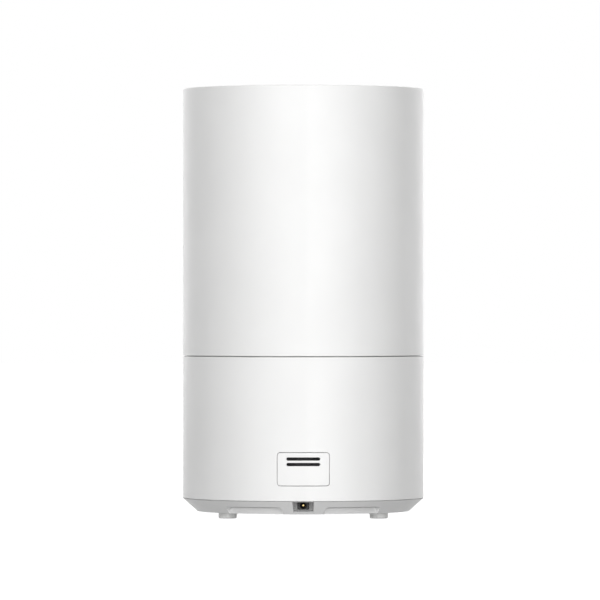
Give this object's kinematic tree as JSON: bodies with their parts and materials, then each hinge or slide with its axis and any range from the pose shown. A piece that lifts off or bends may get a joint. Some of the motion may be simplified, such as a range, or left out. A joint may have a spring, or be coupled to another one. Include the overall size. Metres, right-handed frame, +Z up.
{
  "type": "cool mist humidifier",
  "caption": "Upright drum-shaped ultrasonic cool mist humidifier with a lift-off top-fill tank, a turning mist nozzle and a pull-out sensor cover on the rear.",
  "frame": {"origin": "middle of the footprint on the surface that the feet stand on", "axes": "+Z up, +Y out of the rear with the sensor cover and power jack, front with the power button facing -Y"},
  "size_m": [0.2, 0.2, 0.3555],
  "materials": {
    "housing_white": "satin moulded ABS, fine even grain",
    "inner_white": "smooth white polypropylene",
    "foot_rubber": "soft light grey rubber, slightly translucent",
    "silicone": "clear-white silicone",
    "frosted_plastic": "frosted translucent plastic",
    "black_plastic": "fine matte moulding",
    "grey_plastic": "mid grey moulding",
    "circuit_board": "green solder mask",
    "steel": "zinc plated",
    "aluminium": "extruded",
    "brass": "turned",
    "magnet": "coated ferrite",
    "piezo_ceramic": "fired disc with a metal face",
    "filter_foam": "open-cell filter felt",
    "lead_sheath": "red insulated wire"
  },
  "bodies": {
    "base": {"base_housing": "housing_white", "bottom_cover": "housing_white", "foot_rear_left": "foot_rubber", "foot_rear_right": "foot_rubber", "foot_front_left": "foot_rubber", "foot_front_right": "foot_rubber", "water_basin": "inner_white", "basin_seal": "silicone", "transducer_disc": "piezo_ceramic", "transducer_seal": "silicone", "transducer_retainer": "aluminium", "float_retainer": "inner_white", "fan_housing": "black_plastic", "fan_cover": "black_plastic", "fan_motor": "steel", "air_duct": "inner_white", "inlet_filter": "filter_foam", "main_board": "circuit_board", "driver_board": "circuit_board", "driver_heat_sink": "aluminium", "dc_jack": "black_plastic", "dc_jack_pin": "brass", "jack_bezel": "grey_plastic", "sensor_tray": "black_plastic", "sensor_board": "black_plastic", "sensor_element": "black_plastic", "button_light_ring": "frosted_plastic", "tact_switch": "black_plastic", "switch_board": "circuit_board", "transducer_lead": "lead_sheath", "fan_lead": "lead_sheath", "cover_screw_1": "steel", "cover_screw_2": "steel", "cover_screw_3": "steel", "cover_screw_4": "steel", "basin_screw_1": "steel", "basin_screw_2": "steel", "basin_screw_3": "steel", "retainer_screw_1": "steel", "retainer_screw_2": "steel", "fan_screw_1": "steel", "fan_screw_2": "steel"},
    "fan_rotor": {"fan_impeller": "black_plastic", "fan_shaft": "steel"},
    "float_body": {"float": "frosted_plastic", "float_magnet": "magnet"},
    "power_button": {"power_button": "housing_white", "switch_plunger": "grey_plastic"},
    "sensor_cover": {"sensor_cover": "housing_white"},
    "tank": {"tank_shell": "housing_white", "tank_floor": "inner_white", "mist_tube": "inner_white", "tube_seal": "silicone", "valve_cap": "inner_white", "valve_spring": "steel"},
    "valve": {"valve_stem": "frosted_plastic", "valve_seal": "silicone"},
    "lid": {"lid": "housing_white", "lid_seal": "silicone"},
    "nozzle": {"mist_nozzle": "housing_white"}
  },
  "joints": [
    {"name": "tank_lift", "type": "slide", "parent": "base", "child": "tank", "axis": [0, 0, 1], "range_m": [0, 0.1]},
    {"name": "valve_drop", "type": "slide", "parent": "tank", "child": "valve", "axis": [0, 0, 1], "range_m": [-0.005, 0], "deforming": ["valve_spring"]},
    {"name": "lid_lift", "type": "slide", "parent": "tank", "child": "lid", "axis": [0, 0, 1], "range_m": [0, 0.06]},
    {"name": "nozzle_turn", "type": "hinge", "parent": "lid", "child": "nozzle", "pos_m": [0, 0, 0.3459], "axis": [0, 0, 1], "continuous": true},
    {"name": "float_rise", "type": "slide", "parent": "base", "child": "float_body", "axis": [0, 0, 1], "range_m": [0, 0.008]},
    {"name": "fan_spin", "type": "hinge", "parent": "base", "child": "fan_rotor", "pos_m": [-0.034, 0, 0.02], "axis": [0, 0, 1], "continuous": true},
    {"name": "power_press", "type": "slide", "parent": "base", "child": "power_button", "axis": [0, 1, 0], "range_m": [0, 0.0015], "stiffness_N_per_m": 600},
    {"name": "cover_pull", "type": "slide", "parent": "base", "child": "sensor_cover", "axis": [0, 1, 0], "range_m": [0, 0.03]}
  ],
  "couplings": [
    {"joint": "valve_drop", "follows": "tank_lift", "ratio": -0.05}
  ]
}
